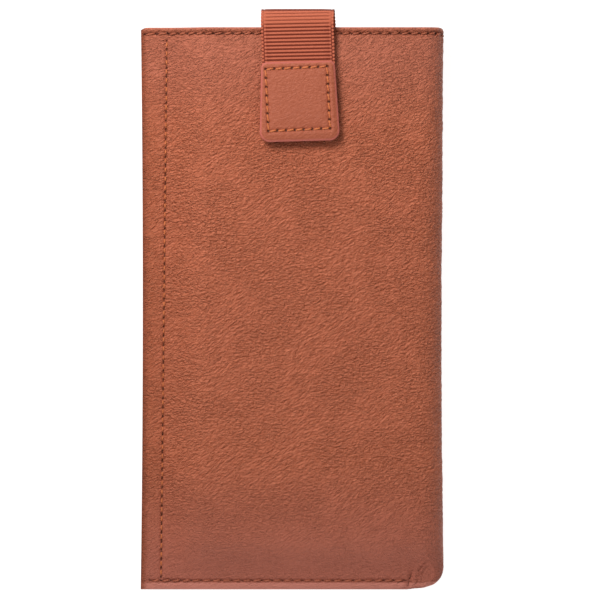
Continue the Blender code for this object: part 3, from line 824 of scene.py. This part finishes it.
def inside_seam(flat):
    """How far each point of the tab's plane lies inside the stitch line, negative outside it."""
    x, y = flat[:, 0] - SEWN_CENTRE[0], flat[:, 1] - SEWN_CENTRE[1]
    past_x = np.abs(x * math.cos(SEWN_TURN) + y * math.sin(SEWN_TURN)) - SEWN_WIDTH / 2
    past_y = np.abs(y * math.cos(SEWN_TURN) - x * math.sin(SEWN_TURN)) - SEWN_HEIGHT / 2
    outside = np.hypot(np.maximum(past_x, 0.0), np.maximum(past_y, 0.0))
    return -(outside + np.minimum(np.maximum(past_x, past_y), 0.0))


def on_tab(flat, z):
    """Points of the tab's own plane, put where the tab lies."""
    x, y = flat[:, 0], flat[:, 1]
    turned_x = x * math.cos(TAB_TURN) - y * math.sin(TAB_TURN) + TAB_CENTRE[0]
    turned_y = x * math.sin(TAB_TURN) + y * math.cos(TAB_TURN) + TAB_CENTRE[1]
    return np.column_stack([turned_x, turned_y, np.broadcast_to(z, x.shape)])


def tab_relief(flat, inset):
    """The tab leather's relief in metres at points one inset from its edge, and how much painted shade its
    stitch holes get.
    """
    to_hole = flat[:, None, :] - tab_holes()[None, :, :]
    distance = np.linalg.norm(to_hole, axis=2).min(axis=1)
    # Each hole is a pit in the relief and painted shade in the colour
    hole = bell(distance / 0.00048)
    line = inside_seam(flat) / MM
    puff = 0.22 * smooth(line / 3.5)
    border = 0.10 * bell((line + 1.1) / 0.6)
    soft = 0.03 * noise(flat[:, 0] / 0.004, flat[:, 1] / 0.0035, 51)
    level = puff + border + soft * smooth((inset / MM) / 1.0) - 0.20 * bell(line / 0.5)
    return (level - 0.40 * hole) * MM, hole


def make_tab_leather(name, face_z, side, material, node):
    """One leather of the tab: face_z is its outer face, and side is 1 for the front, -1 for the back."""
    to_middle = abs(face_z - TAIL_Z) - 0.00002
    ribbon_slot = smooth((tab_outline(0.0)[:, 1] - TAB_HEIGHT / 2 + 0.0012) / 0.0008)
    rim = to_middle - (to_middle - TAB_LEATHER) * ribbon_slot
    points, holes, edges, flats = [], [], [], []

    def ring(inset, depth, edge, hole):
        flat = tab_outline(inset * MM)
        flats.append(flat)
        points.append(on_tab(flat, face_z - side * depth))
        edges.append(np.full(len(flat), edge))
        holes.append(np.broadcast_to(hole, len(flat)))

    # Rings from the flesh side out round the painted edge, then over the face to its middle
    for inset, depth, edge in (
            (5.0, TAB_LEATHER, 0.0), (0.75, TAB_LEATHER, 0.0), (0.65, rim, 0.0), (0.25, rim, 1.0),
            (0.06, rim - 0.07 * MM, 1.0), (0.0, rim - 0.25 * MM, 1.0), (0.0, 0.70 * MM, 1.0),
            (0.03, 0.59 * MM, 1.0)):
        ring(inset, depth, edge, 0.0)
    for inset in (0.09, 0.25, 0.45, 0.7, 1.0, 1.25, *stations(1.45, (3.4, 0.15)),
                  3.6, 3.9, 4.3, 4.9, 5.8, 7.0, 8.3, 9.3, 10.0):
        relief, hole = tab_relief(tab_outline(inset * MM), inset * MM)
        rounding = 0.56 * MM * max(1.0 - inset / 1.9, 0.0) ** 2
        ring(inset, rounding - relief, max(0.0, 1.0 - inset / 0.8), hole)
    numbers = np.arange(sum(map(len, points))).reshape(len(points), -1)
    after = np.roll(numbers, -1, axis=1)
    quads = np.stack([numbers[:-1], after[:-1], after[1:], numbers[1:]], -1).reshape(-1, 4)
    faces = quads.tolist() + [numbers[-1].tolist(), numbers[0, ::-1].tolist()]
    if side < 0:
        faces = [face[::-1] for face in faces]
    obj = make_object(name, np.concatenate(points), faces, material,
                      {"hole": np.concatenate(holes), "edge": np.concatenate(edges)},
                      np.concatenate(flats) / MM)
    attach(obj, "tab")
    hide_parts(node)


def make_tab(leather, thread):
    front_face, back_face = TAB_FRONT_Z + TAB_LEATHER, TAB_BACK_Z
    make_tab_leather("tab_front_panel", front_face, 1.0, leather, "tab_front_leather")
    make_tab_leather("tab_back_panel", back_face, -1.0, leather, "tab_back_leather")
    flat = tab_holes()
    for part, face, side in (("needle", front_face, 1.0), ("bobbin", back_face, -1.0)):
        make_stitches("tab_" + part, on_tab(flat, face), np.tile([0.0, 0.0, side], (len(flat), 1)), "tab",
                      thread, gap=0.0008, slant=0.00014, height=0.0, sink=0.0005)


# ---- materials ----

# The colour of painted shade in stitch holes, seam grooves and creases
PAINTED_HOLE_SHADE = (0.075, 0.017, 0.007)


class Look:
    """A material in the making. Each method adds one node and returns the output that is used."""

    def __init__(self, name, **values):
        self.material = bpy.data.materials.new(name)
        self.material.use_nodes = True
        self.tree = self.material.node_tree
        self.shader = self.tree.nodes["Principled BSDF"]
        for socket, value in values.items():
            self.shader.inputs[socket.replace("_", " ")].default_value = value

    def add(self, kind, output=0, inputs=None, **settings):
        node = self.tree.nodes.new("ShaderNode" + kind)
        for key, value in settings.items():
            setattr(node, key, value)
        for key, value in (inputs or {}).items():
            self.feed(node.inputs[key], value)
        return node.outputs[output]

    def feed(self, socket, value):
        """Links an output to the socket, or sets a plain value; a colour is three numbers."""
        if isinstance(value, bpy.types.NodeSocket):
            self.tree.links.new(value, socket)
        else:
            socket.default_value = (*value, 1.0) if socket.type == "RGBA" else value

    def set(self, socket, value):
        self.feed(self.shader.inputs[socket], value)

    def flat(self):
        return self.add("UVMap", uv_map="flat")

    def place(self):
        """The object's own coordinates, in millimetres."""
        return self.mapped(self.add("TexCoord", output=3), (1.0 / MM, 1.0 / MM, 1.0 / MM))

    def mapped(self, vector, scale, turn=0.0):
        turned = self.add("Mapping", inputs={"Vector": vector, "Rotation": (0.0, 0.0, math.radians(turn))})
        return self.add("Mapping", inputs={"Vector": turned, "Scale": scale})

    def noise(self, vector, scale, detail=2.0, roughness=0.5, distortion=0.0):
        return self.add("TexNoise", inputs={"Vector": vector, "Scale": scale, "Detail": detail,
                                            "Roughness": roughness, "Distortion": distortion})

    def math(self, operation, first, second=0.0):
        return self.add("Math", inputs={0: first, 1: second}, operation=operation)

    def times(self, first, second):
        return self.math("MULTIPLY", first, second)

    def ranged(self, value, low, high, to_low=0.0, to_high=1.0):
        return self.add("MapRange", inputs={0: value, 1: low, 2: high, 3: to_low, 4: to_high},
                        interpolation_type="SMOOTHSTEP")

    def mix(self, factor, first, second):
        return self.add("Mix", output=2, inputs={0: factor, 6: first, 7: second}, data_type="RGBA")

    def attribute(self, name):
        return self.add("Attribute", output=2, attribute_name=name)

    def finish(self, colour, roughness, height, strength, distance):
        """Sets the colour, the roughness and a bump, and returns the material."""
        normal = self.add("Bump", inputs={"Height": height, "Strength": strength, "Distance": distance})
        for socket, value in (("Base Color", colour), ("Roughness", roughness), ("Normal", normal)):
            self.set(socket, value)
        return self.material


def crease_lines(look, vector, scale, turn, distortion, width):
    """1 in the thin valleys between elongated pebbles, and 0 on them."""
    stretched = look.mapped(vector, scale, turn)
    wobble = look.add("VectorMath", operation="MULTIPLY", inputs={
        0: (distortion, distortion, distortion), 1: look.noise(stretched, 0.45, 2.0)})
    moved = look.add("VectorMath", operation="ADD", inputs={0: stretched, 1: wobble})
    edge = look.add("TexVoronoi", inputs={"Vector": moved, "Scale": 1.0, "Randomness": 1.0},
                    feature="DISTANCE_TO_EDGE")
    return look.ranged(edge, 0.0, width, 1.0, 0.0)


def leather_look(name, base, top, light, deep, paint_and_reflection, burnish_shade_colour, painted_pebble_light, relief=1.0, smooth_foot=True):
    """Grained leather. Its light colour is a painted highlight on the pebbles' lit flanks, and its deep
    colour serves darker tone and painted shade; the attributes add painted shade in stitch holes, stitch
    grooves and creases, edge paint with a painted reflection, and burnish with painted shade.
    """
    look = Look(name, IOR=1.45, Specular_IOR_Level=0.28)
    flat = look.flat()
    fine = crease_lines(look, flat, (0.60, 1.20, 1.0), -8.0, 1.6, 0.26)
    small = crease_lines(look, flat, (1.1, 1.9, 1.0), 14.0, 1.2, 0.34)
    slanted = crease_lines(look, flat, (0.17, 0.75, 1.0), -35.0, 2.2, 0.26)
    cluster = look.ranged(look.noise(flat, 0.055, 2.0), 0.42, 0.62)
    lines = look.math("MAXIMUM", fine, look.times(small, 0.6))
    lines = look.math("MAXIMUM", lines, look.times(look.times(slanted, cluster), 1.1))

    # Two fields of low waves, and their slope from the lit side, painted into the colour as lighter and
    # darker flanks: a painted highlight and painted shade
    shares = look.ranged(cluster, 0.0, 1.0, 1.0, 0.4), look.ranged(cluster, 0.0, 1.0, 0.0, 0.6)

    def waves(vector):
        level = look.noise(look.mapped(vector, (0.88, 1.75, 1.0), -6.0), 1.0, 2.0, 0.6, 0.7)
        tilted = look.noise(look.mapped(vector, (0.62, 1.60, 1.0), -34.0), 1.0, 2.0, 0.6, 0.7)
        return look.math("ADD", look.times(level, shares[0]), look.times(tilted, shares[1]))

    lit_side = look.add("VectorMath", inputs={0: flat, 1: (-0.12, 0.27, 0.0)}, operation="ADD")
    wavelets = waves(flat)
    painted_lit_flank = look.ranged(look.math("SUBTRACT", wavelets, waves(lit_side)), -0.13, 0.13)
    if smooth_foot:
        across, along = (look.add("SeparateXYZ", output=k, inputs={0: flat}) for k in (0, 1))
        lines = look.times(lines, look.ranged(along, -76.0, -56.0, 0.45, 1.0))
        painted_pebble_light = look.ranged(along, -74.0, -52.0, 0.30 * painted_pebble_light, painted_pebble_light)
        painted_pebble_light = look.times(painted_pebble_light, look.ranged(across, 2.0, 8.0, 0.4, 1.0))

    colour = look.mix(look.ranged(look.noise(flat, 0.9, 4.0, 0.6), 0.35, 0.68), base, top)
    colour = look.mix(look.ranged(look.noise(flat, 0.045, 3.0, 0.55), 0.35, 0.7, 0.0, 0.14), colour, deep)
    # Painted shade in the thin valleys between the pebbles
    colour = look.mix(look.times(lines, 0.36), colour, deep)
    # Painted shade on the flanks turned from the light, and a painted highlight on those turned to it
    colour = look.mix(look.times(look.math("SUBTRACT", 1.0, painted_lit_flank), painted_pebble_light), colour, deep)
    colour = look.mix(look.times(painted_lit_flank, painted_pebble_light), colour, light)
    if smooth_foot:
        # A painted reflection, pinker and duller towards the foot, and painted light, paler towards the mouth
        colour = look.mix(look.ranged(along, -42.0, -80.0, 0.0, 0.85), colour, (0.375, 0.108, 0.070))
        colour = look.mix(look.ranged(along, 48.0, 80.0, 0.0, 0.55), colour, (0.45, 0.138, 0.085))
    edge = look.attribute("edge")
    # Edge paint on the rims and the mouth's top, and a painted reflection below the foot seam
    colour = look.mix(look.ranged(edge, 0.0, 0.8, 0.0, 0.85), colour, paint_and_reflection)
    # Burnish and painted shade along the left edge, painted shade above the mouth seam
    colour = look.mix(look.ranged(look.attribute("burnish_and_shade"), 0.0, 1.0, 0.0, 0.95), colour, burnish_shade_colour)
    # Painted shade in the stitch holes, along the stitch grooves and in the foot's crease
    colour = look.mix(look.ranged(look.attribute("hole"), 0.15, 0.75, 0.0, 0.93), colour, PAINTED_HOLE_SHADE)
    rough = look.ranged(look.noise(flat, 2.2, 3.0), 0.3, 0.7, 0.50, 0.66)
    rough = look.math("SUBTRACT", rough, look.times(edge, 0.08))
    height = look.math("SUBTRACT", look.times(wavelets, 2.8), look.times(lines, 1.1))
    height = look.times(height, look.math("SUBTRACT", 1.0, edge))
    return look.finish(colour, rough, height, relief, 0.00032)


def ribbon_look():
    look = Look("grosgrain", Sheen_Weight=0.10, Sheen_Roughness=0.45, IOR=1.45, Specular_IOR_Level=0.2)
    flat = look.flat()
    threads = look.add("TexWave", inputs={"Vector": look.mapped(flat, (1.0, 0.18, 1.0)), "Scale": 1.35,
                                          "Distortion": 0.8, "Detail": 1.0, "Detail Scale": 2.0},
                       wave_type="BANDS", bands_direction="X")
    fuzz = look.noise(flat, 4.5, 3.0)
    colour = look.mix(look.ranged(fuzz, 0.3, 0.7), (0.45, 0.102, 0.048), (0.58, 0.160, 0.086))
    colour = look.mix(look.ranged(threads, 0.0, 1.0, 0.16, 0.0), colour, (0.30, 0.05, 0.022))
    # Painted shade between the ribs and beads and at the loop's top
    painted_groove_shade = look.ranged(look.attribute("groove"), 0.06, 0.52, 0.0, 0.96)
    colour = look.mix(painted_groove_shade, colour, (0.12, 0.012, 0.003))
    weave = look.math("ADD", threads, look.times(fuzz, 0.5))
    return look.finish(colour, look.ranged(fuzz, 0.3, 0.7, 0.55, 0.72), weave, 0.5, 0.00005)


def thread_look(name, base, top, deep):
    look = Look(name, Sheen_Weight=0.10, IOR=1.45, Specular_IOR_Level=0.3)
    place = look.place()
    fibre = look.noise(place, 5.0, 3.0)
    along = look.noise(place, 0.6, 1.0)
    colour = look.mix(look.ranged(fibre, 0.3, 0.7), base, top)
    colour = look.mix(look.ranged(along, 0.35, 0.65, 0.0, 0.4), colour, deep)
    return look.finish(colour, look.ranged(fibre, 0.3, 0.7, 0.42, 0.6), fibre, 0.4, 0.00004)


def lining_look():
    look = Look("microfibre_lining", Sheen_Weight=0.5, Sheen_Roughness=0.5, IOR=1.4)
    flat = look.flat()
    nap = look.noise(look.mapped(flat, (1.0, 0.35, 1.0), 20.0), 4.0, 4.0, 0.65)
    brushed = look.noise(flat, 0.09, 3.0)
    colour = look.mix(look.ranged(nap, 0.3, 0.7), (0.20, 0.070, 0.042), (0.33, 0.125, 0.078))
    colour = look.mix(look.ranged(brushed, 0.4, 0.6, 0.0, 0.35), colour, (0.16, 0.055, 0.035))
    return look.finish(colour, look.ranged(nap, 0.3, 0.7, 0.85, 0.98), nap, 0.5, 0.0001)


def board_look():
    look = Look("fibre_board", IOR=1.45)
    place = look.place()
    fibres = look.noise(look.mapped(place, (0.3, 1.4, 1.0)), 1.2, 5.0, 0.65)
    specks = look.noise(place, 2.4, 2.0)
    colour = look.mix(look.ranged(fibres, 0.3, 0.7), (0.27, 0.23, 0.19), (0.42, 0.37, 0.31))
    colour = look.mix(look.ranged(specks, 0.6, 0.75, 0.0, 0.5), colour, (0.15, 0.12, 0.10))
    return look.finish(colour, look.ranged(fibres, 0.3, 0.7, 0.78, 0.92), fibres, 0.4, 0.0001)


def floor_look():
    look = Look("pale_floor", Roughness=0.9, Specular_IOR_Level=0.1)
    look.set("Base Color", (0.30, 0.30, 0.30))
    look.set("Emission Color", (1.0, 1.0, 1.0))
    look.set("Emission Strength", 0.90)
    return look.material


# ---- camera, floor and light ----

def make_camera():
    """A camera straight above the sleeve, so far off that its walls hardly show."""
    height, view_width, centre = 2.4, 0.17794, (0.00222, 0.00252)
    camera = bpy.data.cameras.new("camera")
    camera.sensor_width = 36.0
    camera.lens = camera.sensor_width * (height - MID_Z) / view_width
    camera.clip_start, camera.clip_end = 0.1, 20.0
    obj = add_to_scene("camera", camera)
    obj.location = (*centre, height)
    bpy.context.scene.camera = obj


def make_floor():
    half, z = 4.0, -0.0003
    mesh = bpy.data.meshes.new("floor")
    corners = [(-half, -half, z), (half, -half, z), (half, half, z), (-half, half, z)]
    mesh.from_pydata(corners, [], [(0, 1, 2, 3)])
    mesh.materials.append(floor_look())
    floor = add_to_scene("floor", mesh)


def make_light(name, location, size, power):
    """A soft square panel that faces the middle of the sleeve."""
    light = bpy.data.lights.new(name, "AREA")
    light.size = size
    light.energy = power
    obj = add_to_scene(name, light)
    obj.location = location
    obj.rotation_euler = (-obj.location).to_track_quat("-Z", "Y").to_euler()
    obj.visible_camera = False


def make_studio():
    scene = bpy.context.scene
    scene.view_settings.view_transform = "Standard"
    world = bpy.data.worlds.new("studio")
    world.use_nodes = True
    tree = world.node_tree
    direction = tree.nodes.new("ShaderNodeTexCoord").outputs["Generated"]
    upwards = tree.nodes.new("ShaderNodeSeparateXYZ")
    glow = tree.nodes.new("ShaderNodeMapRange")
    tree.links.new(direction, upwards.inputs[0])
    tree.links.new(upwards.outputs["Z"], glow.inputs["Value"])
    for socket, value in (("From Min", 0.0), ("From Max", 0.9), ("To Min", 0.16), ("To Max", 0.46)):
        glow.inputs[socket].default_value = value
    tree.links.new(glow.outputs["Result"], tree.nodes["Background"].inputs["Strength"])
    tree.nodes["Background"].inputs["Color"].default_value = (1.0, 1.0, 1.0, 1.0)
    scene.world = world
    make_light("key", (-0.13, 0.25, 0.30), 0.16, 1.5)
    make_light("foot_glow", (0.02, -0.50, 0.16), 0.30, 0.8)


def main():
    terracotta = leather_look(
        "terracotta_leather", base=(0.45, 0.110, 0.045), top=(0.56, 0.162, 0.075), light=(0.78, 0.25, 0.14),
        deep=(0.23, 0.042, 0.014), paint_and_reflection=(0.60, 0.22, 0.165), burnish_shade_colour=(0.25, 0.055, 0.020), painted_pebble_light=0.36)
    facing = leather_look(
        "facing_leather", base=(0.30, 0.085, 0.045), top=(0.38, 0.12, 0.07), light=(0.42, 0.14, 0.08),
        deep=(0.20, 0.05, 0.025), paint_and_reflection=(0.36, 0.12, 0.08), burnish_shade_colour=(0.25, 0.06, 0.03), painted_pebble_light=0.3,
        relief=0.5, smooth_foot=False)
    tab_leather = leather_look(
        "tab_leather", base=(0.37, 0.092, 0.043), top=(0.43, 0.118, 0.060), light=(0.47, 0.14, 0.078),
        deep=(0.28, 0.062, 0.027), paint_and_reflection=(0.50, 0.130, 0.100), burnish_shade_colour=(0.31, 0.07, 0.032), painted_pebble_light=0.22,
        relief=0.35, smooth_foot=False)
    thread = thread_look("stitching_thread", (0.50, 0.125, 0.036), (0.66, 0.20, 0.065), (0.40, 0.095, 0.030))
    # A darker thread for the mouth and foot rows
    darker_thread = thread_look("darker_thread", (0.32, 0.078, 0.034), (0.42, 0.112, 0.052), (0.26, 0.055, 0.020))
    make_hide(terracotta)
    make_inner_sheet("lining", FOOT_Y + 0.0020, MOUTH_Y - FACING_HEIGHT - 0.0003, lining_inset, LINING,
                     lining_look(), 0.00002)
    make_inner_sheet("mouth_facing", MOUTH_Y - FACING_HEIGHT, MOUTH_Y - 0.0002, facing_inset, FACING,
                     facing, 0.0)
    board = board_look()
    for node in ("front_stiffener", "back_stiffener"):
        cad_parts[node].data.materials.clear()
        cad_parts[node].data.materials.append(board)
    make_pouch_stitches(thread, darker_thread)
    make_anchor_stitches(thread)
    make_ribbons(ribbon_look())
    make_tab(tab_leather, thread)
    make_camera()
    make_floor()
    make_studio()


main()
